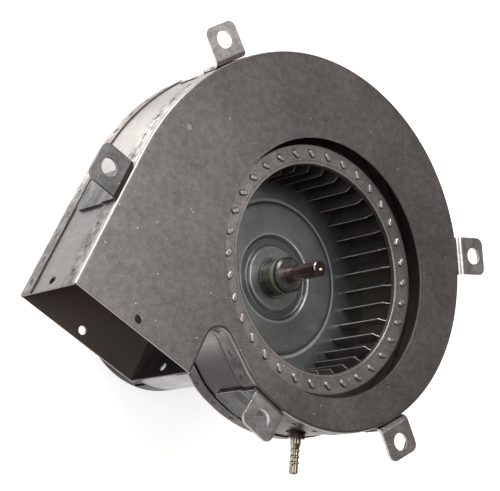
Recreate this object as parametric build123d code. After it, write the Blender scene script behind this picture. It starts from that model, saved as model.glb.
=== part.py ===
from build123d import *

import math
import os

# Combustion fan: a sheet-metal scroll housing with a squirrel-cage wheel, driven by a round
# shaded-pole motor that hangs behind it. Millimetres. +Z runs along the shaft, out of the
# inlet; the origin is the centre of the inlet, on the outer face of the front plate.

# Scroll outline, followed with the interior on the left, from the outlet's cutoff corner.
OUTLET_HEADING = 242.0  # direction in which the outlet blows, degrees from +X
OUTLET_REACH = 93.4  # shaft axis to the outlet's edge, along the heading
CUTOFF_WALL_OFFSET = 46.2  # shaft axis to the outlet's short wall
CUTOFF_WALL_LENGTH = 20.8
NOTCH_RADIUS = 8.4  # outside corner between the short wall and the scroll
RAMP_HEADING = -56.0  # straight run where the scroll starts
RAMP_LENGTH = 18.2
SCROLL_ARCS = ((29.0, 16.0), (81.0, 58.0), (89.0, 60.0), (98.0, 60.0), (102.5, 60.0), (131.0, 44.0))

# Sheet metal
SHEET = 0.8
BEND = 1.5  # outer radius of each turned edge
HOUSING_DEPTH = 45.3
FRONT_SKIRT = 10.2
REAR_SKIRT = 8.8
BAND_GAP = BEND + 0.1  # plate face to the edge of the band, clear of the bend
INLET_RADIUS = 65.0
CRIMP_LENGTH, CRIMP_WIDTH, CRIMP_DEPTH, CRIMP_PITCH = 3.5, 2.6, 0.4, 13.0
CRIMP_HEIGHT, CRIMP_TAPER = 0.62, 45.0  # share of the skirt's width; slope of its sides
OUTLET_HOLE_RADIUS, OUTLET_HOLE_SETBACK = 2.15, 5.2
DIMPLE_RADIUS, DIMPLE_DEPTH = 1.9, 0.3
DIMPLE_AT = (-87.6, 55.2)

# Mounting tabs, by the direction that each one faces
TAB_NORMALS = {"top": 119.4, "right": 5.6, "lower_right": -64.0, "lower_left": -122.6}
LEFT_TAB_SETBACK = 55.4  # outlet edge to the tab on the long straight wall
TAB_THICKNESS = 1.5
TAB_WIDTH = 20.0
TAB_HEIGHT = 19.0
TAB_HOLE_RADIUS, TAB_HOLE_HEIGHT = 4.4, 11.2
TAB_FRONT = 0.75
TAB_BEND = 3.0
TAB_CORNER = 4.0
TAB_FOOT_END = -33.0
JOGGLE_TOP, JOGGLE_BOTTOM, JOGGLE_BEND = -10.6, -12.6, 1.2

# Hose barb
BARB_NORMAL = -95.5
BARB_Z = -HOUSING_DEPTH / 2
BARB_THREAD_RADIUS, BARB_THREAD_GAP = 3.6, 0.1
BARB_HEX = 8.0  # across the flats
BARB_HEX_HEIGHT = 2.6
BARB_WASHER_RADIUS, BARB_WASHER_THICKNESS = 5.2, 0.5
BARB_ROOT_RADIUS, BARB_ROOT_LENGTH = 2.65, 2.4
BARB_NECK_RADIUS, BARB_NECK_AT = 2.2, 4.3
BARB_RIDGES_AT = (5.8, 8.9, 11.9)  # heights above the hexagon
BARB_RIDGE_RADIUS, BARB_VALLEY_RADIUS = 2.45, 2.05
BARB_RIDGE_CREST, BARB_RIDGE_FOOT = 0.3, 0.8  # half widths at its top and at its bottom
BARB_TIP_RADIUS, BARB_TIP_CHAMFER = 2.2, 0.4
BARB_LENGTH = 17.3  # from the top of the hexagon to the tip
BARB_BORE = 1.3
BARB_NUT, BARB_NUT_HEIGHT, BARB_NUT_GAP = 11.2, 3.0, 0.3
BARB_THREAD_PAST_NUT = 1.0

# Wheel
BLADES = 34
BLADE_PHASE = -1.5  # puts the clinches of one blade on +X
WHEEL_RADIUS = 62.7
RING_INNER, RING_FRONT, RING_LIP = 52.7, -6.4, 1.6
RING_BEND = 0.6
WHEEL_SHEET = 0.9
PLATE_FRONT = -41.7
PLATE_SEAT = -40.6  # front of the back disc around the hub
PLATE_GROOVE_FROM, PLATE_GROOVE_TO, PLATE_GROOVE_SLOPE, PLATE_GROOVE_Z = 16.2, 22.4, 1.4, -42.2
PLATE_DISH_Z, PLATE_DISH_RIM_Z = -40.2, -40.4
PLATE_STEP_FROM, PLATE_STEP_TO = 38.8, 42.0
PLATE_BEND = 0.7
BLADE_THICKNESS = 0.5
BLADE_INNER, BLADE_OUTER = 50.0, 62.1
BLADE_SWEEP = 7.0  # degrees from the inner edge to the outer edge
BLADE_HALF_TURN = 38.0
BLADE_GAP, BLADE_CUT = 0.1, 4.8  # clearance from the ring's lip; depth of the cut front corner
CLINCH_RADIUS, CLINCH_LENGTH, CLINCH_WIDTH, CLINCH_HEIGHT, CLINCH_LEAN = 58.3, 5.0, 2.8, 1.0, 42.0
CLINCH_ROUND = 0.7

# Shaft and hub
SHAFT_RADIUS = 3.97
SHAFT_FRONT, SHAFT_REAR = -5.6, -147.0
SHAFT_CHAMFER = 0.5
SHAFT_CENTRE_RADIUS, SHAFT_CENTRE_DEPTH = 1.2, 1.2
HUB_RADIUS = 9.15
HUB_FRONT, HUB_REAR = -28.0, -43.3
HUB_CHAMFER_WIDTH, HUB_CHAMFER_DEPTH = 1.2, 0.8
HUB_GROOVE_Z, HUB_GROOVE_WIDTH, HUB_GROOVE = -30.2, 0.9, 1.0
HUB_SHOULDER_RADIUS, HUB_SHOULDER_HEIGHT = 10.4, 0.8
HUB_SWAGE, HUB_SWAGE_END = 1.4, 0.4
SETSCREW_RADIUS, SETSCREW_Z, SETSCREW_GAP = 2.4, -37.0, 0.1
SETSCREW_SOCKET, SETSCREW_SOCKET_DEPTH = 2.4, 1.5

# Motor, from the housing to its rear end
MOTOR_RADIUS = 49.2
MOTOR_SHEET = 1.2
FRONT_BELL_FACE, FRONT_BELL_EDGE = -66.0, -84.0
REAR_BELL_EDGE, REAR_BELL_SHOULDER, REAR_BELL_FACE = -132.0, -146.5, -150.0
BELL_BEND = 3.0
REAR_FACE_RADIUS, REAR_FACE_BEND = 35.0, 1.0
REAR_BOSS_WALL = 2.0  # end wall that holds the rear felt, inside the bearing's radius
VENTS, VENT_WIDTH = 8, 5.0
FRONT_VENTS_AT, FRONT_VENT_LENGTH = 26.0, 15.0
REAR_VENTS_AT, REAR_VENT_LENGTH = 23.0, 14.0
SIDE_VENTS, SIDE_VENT_LENGTH, SIDE_VENT_WIDTH, SIDE_VENT_Z, SIDE_VENT_PHASE = 12, 9.0, 3.0, -138.0, 15.0
BOLT_CIRCLE = 41.0
BOLTS = 4
BOLT_PHASE = 45.0
BOLT_RADIUS = 2.4
BOLT_HEX = 8.0
BOLT_HEAD_HEIGHT, BOLT_NUT_HEIGHT = 3.0, 3.6
CLINCH_NUT_RADIUS, CLINCH_NUT_NECK, CLINCH_NUT_HEIGHT = 4.6, 3.6, 4.0
BUSH_RADIUS = 6.0
STATOR_FRONT, STATOR_REAR = -90.0, -118.0
STATOR_BORE = 22.0
POLES = 4
YOKE_INNER = 38.0
POLE_WIDTH, SHOE_THICKNESS, SHOE_ANGLE = 17.0, 4.0, 74.0
STATOR_BOLT_GAP = 0.3
COIL_WALL, COIL_OVERHANG, COIL_ROUND = 4.0, 6.5, 1.0
COIL_SHOE_GAP, COIL_YOKE_GAP, COIL_POLE_GAP, COIL_STACK_GAP = 1.0, 2.5, 0.2, 0.5
SHADING_WIRE, SHADING_FROM, SHADING_SPAN = 1.4, 5.5, 7.5
SHADING_INNER, SHADING_OUTER = STATOR_BORE + 1.2, STATOR_BORE + 3.0
ROTOR_RADIUS = 21.6
END_RING_OUTER, END_RING_INNER, END_RING_HEIGHT = 20.4, 12.0, 5.0
RING_FINS, RING_FIN_LENGTH, RING_FIN_WIDTH, RING_FIN_HEIGHT = 8, 6.0, 1.6, 3.0
BEARING_RADIUS, BEARING_LENGTH, BEARING_BORE = 8.0, 8.6, 4.0
BEARING_LAND, BEARING_NOSE = 1.5, 1.6  # half width of its middle band; how far its ends taper in
FRONT_BEARING_Z, REAR_BEARING_Z = -71.5, -139.0
BEARING_CUP_WALL, BEARING_CUP_DEPTH, REAR_CUP_PAST = 1.4, 12.5, 1.6
RETAINER_THICKNESS, RETAINER_GAP, RETAINER_WIDTH = 0.6, 0.2, 2.6
FRONT_FELT_LENGTH, REAR_FELT_LENGTH, FELT_GAP = 1.1, 2.2, 0.6
THRUST_RADIUS, THRUST_THICKNESS = 7.0, 1.0
FRONT_THRUST_GAP, REAR_THRUST_GAP = 1.0, 2.0  # end play of the rotor
CLIP_RADIUS, CLIP_THICKNESS, CLIP_OPENING = 6.2, 0.8, 5.0
SLINGER_Z, SLINGER_RADIUS, SLINGER_THICKNESS = -58.0, 32.0, 1.0
SLINGER_COLLAR_RADIUS, SLINGER_COLLAR_HEIGHT = 7.0, 4.5
SLINGER_BLADES, SLINGER_BLADES_AT, SLINGER_BLADE_LEAN = 10, 23.0, 25.0
SLINGER_BLADE_LENGTH, SLINGER_BLADE_WIDTH, SLINGER_BLADE_HEIGHT = 15.0, 1.0, 6.5
SEAL_FELT_RADIUS, SEAL_CUP_RADIUS, SEAL_HEIGHT = 9.0, 10.0, 2.6
SEAL_FELT_GAP, SEAL_CUP_GAP = 0.3, 1.5  # around the shaft
PLATE_SHAFT_HOLE = 6.0
GROMMET_NECK, GROMMET_BORE = 4.0, 2.4
GROMMET_LIP, GROMMET_INNER_LIP, GROMMET_OUTER_LIP, GROMMET_TAPER = 1.6, 0.8, 1.6, 1.0
GROMMET_SLACK = 0.5  # between each lip and the shell
GROMMET_ANGLE, GROMMET_Z = -28.0, -125.0

PAST = 1.0  # how far a cutter runs past what it cuts

parts = {}


def polar(radius, angle):
    """The point at this radius and angle in the plane of the housing."""
    return Vector(radius * math.cos(math.radians(angle)), radius * math.sin(math.radians(angle)), 0)


def disc(radius, top, bottom):
    """An upright cylinder on the shaft axis between two heights."""
    return Pos(0, 0, bottom) * extrude(Circle(radius), amount=top - bottom)


def tube(outer, inner, top, bottom):
    """An upright hollow cylinder on the shaft axis between two heights."""
    return disc(outer, top, bottom) - disc(inner, top + PAST, bottom - PAST)


def rounded_face(points, rounds):
    """The area of a closed outline, with the corner nearest to each point in rounds turned to its radius."""
    face = make_face(Polyline(*points, close=True))
    for (x, y), radius in rounds:
        corner = face.vertices().sort_by_distance((x, y, 0))[0]
        face = fillet(corner, radius)
    return face


def revolved(points, rounds=()):
    """The ring swept about the shaft axis by a closed profile of (radius, height) points."""
    return revolve(Plane.XZ * rounded_face(points, rounds), Axis.Z)


def around(shape, count, phase=0.0):
    """Copies of a shape, evenly spaced about the shaft axis."""
    return [Rot(0, 0, phase + 360.0 * i / count) * shape for i in range(count)]


# The scroll outline


def scroll_walk(inset, overrun=0.0):
    """The outline as edges and arcs, inset from the outer skin and run on past the outlet."""
    heading = OUTLET_HEADING - 180.0
    inward = polar(1, OUTLET_HEADING - 90.0)
    point = polar(OUTLET_REACH + overrun, OUTLET_HEADING) + inward * (CUTOFF_WALL_OFFSET + inset)
    edges, arcs = [], []

    def straight(length):
        nonlocal point
        end = point + polar(length, heading)
        edges.append(Edge.make_line(point, end))
        point = end

    def turn(radius, angle):
        nonlocal point, heading
        side = math.copysign(90.0, angle)
        centre = point + polar(radius, heading + side)
        middle = centre + polar(radius, heading + angle / 2 - side)
        end = centre + polar(radius, heading + angle - side)
        edges.append(Edge.make_three_point_arc(point, middle, end))
        arcs.append((centre, radius, heading - side, angle))
        point = end
        heading += angle

    straight(CUTOFF_WALL_LENGTH + overrun)
    turn(NOTCH_RADIUS + inset, RAMP_HEADING - heading)
    straight(RAMP_LENGTH)
    for radius, angle in SCROLL_ARCS:
        turn(radius - inset, angle)
    straight(OUTLET_REACH + overrun - point.dot(polar(1, OUTLET_HEADING)))
    return edges, arcs


def scroll_face(inset, overrun=0.0):
    """The area inside the outline, closed by a straight line across the outlet."""
    edges, _ = scroll_walk(inset, overrun)
    closing = Edge.make_line(edges[-1] @ 1, edges[0] @ 0)
    return Face(Wire(edges + [closing]))


def skin_point(normal):
    """The point on the outer skin where the scroll faces this way."""
    for centre, radius, start, angle in scroll_walk(0)[1][1:]:
        if 0 <= (normal - start) % 360 <= angle:
            return centre + polar(radius, normal)
    raise ValueError(normal)


def along_wall(setback):
    """The point on the long straight wall this far from the outlet's edge."""
    end = scroll_walk(0)[0][-1] @ 1
    return end - polar(setback, OUTLET_HEADING)


def skin_plane(point, normal, height=0.0):
    """A plane lying on the skin: x along the wall, y towards the rear, z outwards."""
    out = polar(1, normal)
    return Plane(origin=point + Vector(0, 0, height), x_dir=polar(1, normal - 90), z_dir=out)


# Housing


def pan(inset, overrun, depth, bend):
    """A shallow block with the scroll's outline, its upper edge rounded except at the outlet."""
    block = Pos(0, 0, -depth) * extrude(scroll_face(inset, overrun), amount=depth)
    reach = OUTLET_REACH + overrun
    outlet = polar(1, OUTLET_HEADING)
    rim = [e for e in block.edges().group_by(Axis.Z)[-1] if abs((e @ 0.5).dot(outlet) - reach) > 0.01]
    return fillet(rim, bend)


def crimps(skirt):
    """The staked marks along a skirt, as the pockets that they leave."""
    path = Wire(scroll_walk(0)[0])
    count = round(path.length / CRIMP_PITCH)
    inset = 2 * CRIMP_DEPTH
    floor = Pos(0, 0, -CRIMP_DEPTH) * SlotOverall(CRIMP_LENGTH - inset, CRIMP_WIDTH - inset)
    mark = extrude(floor, amount=2 * CRIMP_DEPTH, taper=-CRIMP_TAPER)
    pockets = []
    for i in range(count):
        where = (i + 0.5) / count
        tangent = path % where
        normal = math.degrees(math.atan2(tangent.Y, tangent.X)) - 90.0
        pockets.append(skin_plane(path @ where, normal, -skirt * CRIMP_HEIGHT) * mark)
    return pockets


def pan_plate(skirt):
    """A side plate, face up at zero, with its edge turned down over the band."""
    shell = pan(0, 0, skirt, BEND)
    hollow = Pos(0, 0, -SHEET) * pan(SHEET, BEND, skirt, BEND - SHEET)
    plate = shell - hollow
    return plate - crimps(skirt) - outlet_hole_in_face()


def outlet_hole_in_face():
    """The screw hole midway across the outlet, through a side plate at zero."""
    edges, _ = scroll_walk(0)
    middle = (edges[0] @ 0 + edges[-1] @ 1) * 0.5 - polar(OUTLET_HOLE_SETBACK, OUTLET_HEADING)
    return Pos(middle) * Cylinder(OUTLET_HOLE_RADIUS, 4 * SHEET)


def front_plate():
    inlet = Cylinder(INLET_RADIUS, 4 * SHEET)
    dimple = Pos(*DIMPLE_AT, 0) * Cylinder(DIMPLE_RADIUS, 2 * DIMPLE_DEPTH)
    return pan_plate(FRONT_SKIRT) - inlet - dimple


def rear_plate():
    plate = pan_plate(REAR_SKIRT)
    plate = Pos(0, 0, -HOUSING_DEPTH) * mirror(plate, about=Plane.XY)
    hole = disc(PLATE_SHAFT_HOLE, PAST - HOUSING_DEPTH, -PAST - HOUSING_DEPTH)
    bolt = Pos(BOLT_CIRCLE, 0, -HOUSING_DEPTH) * Cylinder(CLINCH_NUT_NECK, 4 * SHEET)
    return plate - hole - around(bolt, BOLTS, BOLT_PHASE)


def scroll_band():
    height = HOUSING_DEPTH - 2 * BAND_GAP
    profile = scroll_face(SHEET) - scroll_face(2 * SHEET, BEND)
    band = Pos(0, 0, BAND_GAP - HOUSING_DEPTH) * extrude(profile, amount=height)
    edges, _ = scroll_walk(SHEET)
    short = edges[0] @ 0 - polar(OUTLET_HOLE_SETBACK, OUTLET_HEADING)
    long = edges[-1] @ 1 - polar(OUTLET_HOLE_SETBACK, OUTLET_HEADING)
    drill = extrude(Circle(OUTLET_HOLE_RADIUS), amount=2 * SHEET, both=True)
    for point in (short, long):
        band -= skin_plane(point, OUTLET_HEADING - 90, BARB_Z) * drill
    thread = extrude(Circle(BARB_THREAD_RADIUS), amount=4 * SHEET, both=True)
    return band - skin_plane(skin_point(BARB_NORMAL), BARB_NORMAL, BARB_Z) * thread


def mounting_tab(point, normal):
    """An angle bracket: a flange level with the front plate and a foot stepped onto the band."""
    back = TAB_FRONT - TAB_THICKNESS
    inner = TAB_THICKNESS - SHEET
    points = [(TAB_HEIGHT, TAB_FRONT), (0, TAB_FRONT), (0, JOGGLE_TOP), (-SHEET, JOGGLE_BOTTOM)]
    points += [(-SHEET, TAB_FOOT_END), (inner, TAB_FOOT_END), (inner, JOGGLE_BOTTOM)]
    points += [(TAB_THICKNESS, JOGGLE_TOP), (TAB_THICKNESS, back), (TAB_HEIGHT, back)]
    rounds = [((0, TAB_FRONT), TAB_BEND), ((TAB_THICKNESS, back), TAB_BEND - TAB_THICKNESS)]
    rounds += [((0, JOGGLE_TOP), JOGGLE_BEND), ((-SHEET, JOGGLE_BOTTOM), JOGGLE_BEND)]
    rounds += [((inner, JOGGLE_BOTTOM), JOGGLE_BEND), ((TAB_THICKNESS, JOGGLE_TOP), JOGGLE_BEND)]
    face = rounded_face(points, rounds)
    tab = extrude(face, amount=TAB_WIDTH / 2, both=True)
    # The profile is drawn with x outwards and y along the shaft; the width is along z.
    outer = tab.edges().filter_by(Axis.Y).group_by(Axis.X)[-1]
    tab = fillet(outer, TAB_CORNER)
    foot = tab.edges().filter_by(Axis.X).group_by(Axis.Y)[0]
    tab = fillet(foot, TAB_CORNER)
    hole = Pos(TAB_HOLE_HEIGHT, 0, 0) * Rot(90, 0, 0) * Cylinder(TAB_HOLE_RADIUS, 4 * TAB_THICKNESS)
    frame = Plane(origin=point, x_dir=polar(1, normal), z_dir=polar(1, normal - 90))
    return frame * (tab - hole)


# Hose barb


# Square to the barb's axis, on the band's outer face.
barb_frame = skin_plane(skin_point(BARB_NORMAL) - polar(SHEET, BARB_NORMAL), BARB_NORMAL, BARB_Z)


def hexagon(across_flats):
    return RegularPolygon(across_flats / math.sqrt(3), 6)


def hose_barb():
    """Threaded shank, hexagon and ridged tube, turned from one bar and drilled through."""
    shank_end = -SHEET - BARB_NUT_GAP - BARB_NUT_HEIGHT - BARB_THREAD_PAST_NUT
    shank = BARB_THREAD_RADIUS - BARB_THREAD_GAP
    hex_base = BARB_WASHER_THICKNESS
    hex_top = hex_base + BARB_HEX_HEIGHT
    tip = hex_top + BARB_LENGTH
    points = [(0, shank_end), (shank, shank_end), (shank, hex_base), (BARB_ROOT_RADIUS, hex_base)]
    points += [(BARB_ROOT_RADIUS, hex_top + BARB_ROOT_LENGTH), (BARB_NECK_RADIUS, hex_top + BARB_NECK_AT)]
    for height in BARB_RIDGES_AT:
        middle = hex_top + height
        points += [(BARB_VALLEY_RADIUS, middle - BARB_RIDGE_FOOT)]
        points += [(BARB_RIDGE_RADIUS, middle - BARB_RIDGE_CREST)]
        points += [(BARB_RIDGE_RADIUS, middle + BARB_RIDGE_CREST)]
        points += [(BARB_VALLEY_RADIUS, middle + BARB_RIDGE_FOOT)]
    points += [(BARB_TIP_RADIUS, hex_top + BARB_RIDGES_AT[-1] + 2 * BARB_RIDGE_FOOT)]
    points += [(BARB_TIP_RADIUS, tip - BARB_TIP_CHAMFER), (BARB_TIP_RADIUS - BARB_TIP_CHAMFER, tip), (0, tip)]
    turned = revolved(points)
    nut = Pos(0, 0, hex_base) * extrude(hexagon(BARB_HEX), amount=BARB_HEX_HEIGHT)
    bore = Cylinder(BARB_BORE, 4 * BARB_LENGTH)
    return barb_frame * (turned + nut - bore)


def barb_washer():
    ring = Circle(BARB_WASHER_RADIUS) - Circle(BARB_THREAD_RADIUS)
    return barb_frame * extrude(ring, amount=BARB_WASHER_THICKNESS)


def barb_nut():
    ring = hexagon(BARB_NUT) - Circle(BARB_THREAD_RADIUS)
    base = -SHEET - BARB_NUT_GAP - BARB_NUT_HEIGHT
    return barb_frame * (Pos(0, 0, base) * extrude(ring, amount=BARB_NUT_HEIGHT))


# Wheel


def wheel_front_ring():
    """The flat shroud ring with its inner lip and the clinched ends of the blades."""
    back = RING_FRONT - WHEEL_SHEET
    profile = [(RING_INNER, RING_FRONT), (WHEEL_RADIUS, RING_FRONT), (WHEEL_RADIUS, back)]
    profile += [(RING_INNER + WHEEL_SHEET, back), (RING_INNER + WHEEL_SHEET, back - RING_LIP)]
    profile += [(RING_INNER, back - RING_LIP)]
    ring = revolved(profile, [((RING_INNER, RING_FRONT), RING_BEND)])
    bump = extrude(SlotOverall(CLINCH_LENGTH, CLINCH_WIDTH), amount=CLINCH_HEIGHT)
    bump = fillet(bump.edges().group_by(Axis.Z)[-1], CLINCH_ROUND)
    bump = Pos(CLINCH_RADIUS, 0, RING_FRONT) * Rot(0, 0, CLINCH_LEAN) * bump
    return ring + around(bump, BLADES)


def wheel_backplate():
    """The back disc, pressed with a shallow step and a groove around its hub."""
    groove_in = PLATE_GROOVE_FROM + PLATE_GROOVE_SLOPE
    groove_out = PLATE_GROOVE_TO - PLATE_GROOVE_SLOPE
    front = [(HUB_RADIUS, PLATE_SEAT), (PLATE_GROOVE_FROM, PLATE_SEAT), (groove_in, PLATE_GROOVE_Z)]
    front += [(groove_out, PLATE_GROOVE_Z), (PLATE_GROOVE_TO, PLATE_DISH_Z)]
    front += [(PLATE_STEP_FROM, PLATE_DISH_RIM_Z), (PLATE_STEP_TO, PLATE_FRONT), (WHEEL_RADIUS, PLATE_FRONT)]
    back = [(radius, height - WHEEL_SHEET) for radius, height in reversed(front)]
    bends = front[1:-1] + back[1:-1]
    return revolved(front + back, [(bend, PLATE_BEND) for bend in bends])


def wheel_blade():
    """One forward-curved blade: an arc in plan, its front corner cut back to the ring's lip."""
    inner = polar(BLADE_INNER - PAST, 0)
    outer = polar(BLADE_OUTER + PAST, BLADE_SWEEP)
    chord = outer - inner
    lean = math.degrees(math.atan2(chord.Y, chord.X))
    radius = chord.length / (2 * math.sin(math.radians(BLADE_HALF_TURN)))
    centre = inner + polar(radius, lean - BLADE_HALF_TURN + 90)
    start = lean - BLADE_HALF_TURN - 90

    def arc(r):
        ends = [centre + polar(r, start + BLADE_HALF_TURN * k) for k in (0, 1, 2)]
        return Edge.make_three_point_arc(*ends)

    far = arc(radius + BLADE_THICKNESS / 2)
    near = arc(radius - BLADE_THICKNESS / 2)
    caps = [Edge.make_line(far @ k, near @ k) for k in (0, 1)]
    sheet = extrude(Face(Wire([far, near] + caps)), amount=-PLATE_FRONT)
    top = RING_FRONT - WHEEL_SHEET
    lip = RING_INNER + WHEEL_SHEET + BLADE_GAP
    bounds = [(BLADE_INNER, PLATE_FRONT), (BLADE_OUTER, PLATE_FRONT), (BLADE_OUTER, top), (lip, top)]
    bounds += [(lip, top - RING_LIP - BLADE_GAP), (BLADE_INNER, top - BLADE_CUT)]
    return (Pos(0, 0, PLATE_FRONT) * sheet) & revolved(bounds)


# On the shaft axis at the set screw, z out along the screw.
setscrew_frame = Pos(0, 0, SETSCREW_Z) * Rot(0, 90, 0)


def wheel_hub():
    """The turned hub, swaged through the back disc, with a groove behind its front collar."""
    back = PLATE_SEAT - WHEEL_SHEET
    floor = HUB_RADIUS - HUB_GROOVE
    points = [(SHAFT_RADIUS, HUB_FRONT), (HUB_RADIUS - HUB_CHAMFER_WIDTH, HUB_FRONT)]
    points += [(HUB_RADIUS, HUB_FRONT - HUB_CHAMFER_DEPTH), (HUB_RADIUS, HUB_GROOVE_Z)]
    points += [(floor, HUB_GROOVE_Z), (floor, HUB_GROOVE_Z - HUB_GROOVE_WIDTH)]
    points += [(HUB_RADIUS, HUB_GROOVE_Z - HUB_GROOVE_WIDTH), (HUB_RADIUS, PLATE_SEAT + HUB_SHOULDER_HEIGHT)]
    points += [(HUB_SHOULDER_RADIUS, PLATE_SEAT + HUB_SHOULDER_HEIGHT), (HUB_SHOULDER_RADIUS, PLATE_SEAT)]
    points += [(HUB_RADIUS, PLATE_SEAT), (HUB_RADIUS, back), (HUB_RADIUS + HUB_SWAGE, back)]
    points += [(HUB_RADIUS + HUB_SWAGE_END, HUB_REAR), (SHAFT_RADIUS, HUB_REAR)]
    thread = extrude(Circle(SETSCREW_RADIUS), amount=2 * HUB_RADIUS)
    return revolved(points) - setscrew_frame * thread


def hub_setscrew():
    """A headless screw with a hexagon socket, clear of the shaft."""
    length = HUB_RADIUS - SHAFT_RADIUS - SETSCREW_GAP - SHAFT_CHAMFER
    socket = Pos(0, 0, length) * extrude(hexagon(SETSCREW_SOCKET), amount=-SETSCREW_SOCKET_DEPTH)
    screw = extrude(Circle(SETSCREW_RADIUS), amount=length) - socket
    return setscrew_frame * Pos(0, 0, SHAFT_RADIUS + SETSCREW_GAP) * screw


def motor_shaft():
    """The shaft, with the lathe's centre mark in its front end."""
    shaft = disc(SHAFT_RADIUS, SHAFT_FRONT, SHAFT_REAR)
    shaft = chamfer(shaft.edges().filter_by(GeomType.CIRCLE), SHAFT_CHAMFER)
    rim = (SHAFT_CENTRE_RADIUS, SHAFT_FRONT)
    return shaft - revolved([(0, SHAFT_FRONT), rim, (0, SHAFT_FRONT - SHAFT_CENTRE_DEPTH)])


# Motor


def vents(radius, length, height):
    """Slots about the shaft axis, as the cutters that pierce a face at this height."""
    slot = Rot(0, 0, 90) * SlotOverall(length, VENT_WIDTH)
    cutter = Pos(radius, 0, height) * extrude(slot, amount=3 * MOTOR_SHEET, both=True)
    return around(cutter, VENTS)


def bolt_holes(radius, top, bottom):
    hole = Pos(BOLT_CIRCLE, 0, bottom) * extrude(Circle(radius), amount=top - bottom)
    return around(hole, BOLTS, BOLT_PHASE)


def motor_front_bell():
    """The front cup, with the front bearing's seat pressed into its middle."""
    face, edge = FRONT_BELL_FACE, FRONT_BELL_EDGE
    inside, inner = face - MOTOR_SHEET, MOTOR_RADIUS - MOTOR_SHEET
    cup, cup_end = BEARING_RADIUS + BEARING_CUP_WALL, face - BEARING_CUP_DEPTH
    points = [(BEARING_RADIUS, face), (MOTOR_RADIUS, face), (MOTOR_RADIUS, edge), (inner, edge)]
    points += [(inner, inside), (cup, inside), (cup, cup_end), (BEARING_RADIUS, cup_end)]
    rounds = [((MOTOR_RADIUS, face), BELL_BEND), ((inner, inside), BELL_BEND - MOTOR_SHEET)]
    holes = bolt_holes(BOLT_RADIUS, face + PAST, inside - PAST)
    return revolved(points, rounds) - vents(FRONT_VENTS_AT, FRONT_VENT_LENGTH, face) - holes


# On the motor's shell at the lead grommet, z outwards.
grommet_frame = Rot(0, 0, GROMMET_ANGLE) * Pos(MOTOR_RADIUS, 0, GROMMET_Z) * Rot(0, 90, 0)


def motor_shell():
    """The rolled shell between the end bells, with the hole for the lead grommet."""
    shell = tube(MOTOR_RADIUS, MOTOR_RADIUS - MOTOR_SHEET, FRONT_BELL_EDGE, REAR_BELL_EDGE)
    return shell - grommet_frame * Cylinder(GROMMET_NECK, 6 * MOTOR_SHEET)


def motor_rear_bell():
    """The rear cup: a shoulder for the bolt heads and a flat foot that the fan can stand on."""
    sheet, inner = MOTOR_SHEET, MOTOR_RADIUS - MOTOR_SHEET
    shoulder, foot = REAR_BELL_SHOULDER, REAR_BELL_FACE
    boss, boss_top = BEARING_RADIUS - REAR_BOSS_WALL, foot + 2 * sheet
    cup = BEARING_RADIUS + BEARING_CUP_WALL
    cup_top = REAR_BEARING_Z + BEARING_LENGTH / 2 + REAR_CUP_PAST
    step = REAR_FACE_RADIUS - sheet
    points = [(BEARING_RADIUS, boss_top), (boss, boss_top), (boss, foot), (REAR_FACE_RADIUS, foot)]
    points += [(REAR_FACE_RADIUS, shoulder), (MOTOR_RADIUS, shoulder), (MOTOR_RADIUS, REAR_BELL_EDGE)]
    points += [(inner, REAR_BELL_EDGE), (inner, shoulder + sheet), (step, shoulder + sheet)]
    points += [(step, foot + sheet), (cup, foot + sheet), (cup, cup_top), (BEARING_RADIUS, cup_top)]
    rounds = [((MOTOR_RADIUS, shoulder), BELL_BEND), ((inner, shoulder + sheet), BELL_BEND - sheet)]
    rounds += [((REAR_FACE_RADIUS, foot), REAR_FACE_BEND)]
    holes = bolt_holes(BOLT_RADIUS, shoulder + 2 * sheet, shoulder - PAST)
    slot = Pos(MOTOR_RADIUS, 0, SIDE_VENT_Z) * Rot(0, 90, 0) * SlotOverall(SIDE_VENT_LENGTH, SIDE_VENT_WIDTH)
    side_vents = around(extrude(slot, amount=3 * sheet, both=True), SIDE_VENTS, SIDE_VENT_PHASE)
    bell = revolved(points, rounds) - vents(REAR_VENTS_AT, REAR_VENT_LENGTH, foot)
    return bell - holes - side_vents


def stator_core():
    """The laminated stack: a round yoke with four poles whose shoes face the rotor."""
    yoke = Circle(MOTOR_RADIUS - MOTOR_SHEET) - Circle(YOKE_INNER)
    shoe = Circle(STATOR_BORE + SHOE_THICKNESS) - Circle(STATOR_BORE)
    width = 2 * (STATOR_BORE + SHOE_THICKNESS) * math.sin(math.radians(SHOE_ANGLE / 2))
    window = Pos(STATOR_BORE, 0) * Rectangle(2 * STATOR_BORE, width)
    leg = Pos((STATOR_BORE + YOKE_INNER) / 2 + PAST, 0) * Rectangle(YOKE_INNER - STATOR_BORE, POLE_WIDTH)
    outline = yoke
    for i in range(POLES):
        turn = Rot(0, 0, 360.0 * i / POLES)
        outline += turn * (shoe & window)
        outline += turn * leg
    core = Pos(0, 0, STATOR_REAR) * extrude(outline, amount=STATOR_FRONT - STATOR_REAR)
    holes = bolt_holes(BOLT_RADIUS + STATOR_BOLT_GAP, STATOR_FRONT + PAST, STATOR_REAR - PAST)
    return core - holes - shading_rings()


def shading_rings():
    """One copper loop around the trailing part of each pole's shoe."""
    thick = SHADING_WIRE
    sector = Circle(SHADING_OUTER) - Circle(SHADING_INNER)
    middle = Pos(STATOR_BORE, SHADING_FROM + SHADING_SPAN / 2)
    outside = sector & middle * Rectangle(STATOR_BORE, SHADING_SPAN)
    inside = sector & middle * Rectangle(STATOR_BORE, SHADING_SPAN - 2 * thick)
    height = STATOR_FRONT - STATOR_REAR
    loop = Pos(0, 0, STATOR_REAR - thick) * extrude(outside, amount=height + 2 * thick)
    loop -= Pos(0, 0, STATOR_REAR) * extrude(inside, amount=height)
    return around(loop, POLES)


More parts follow.
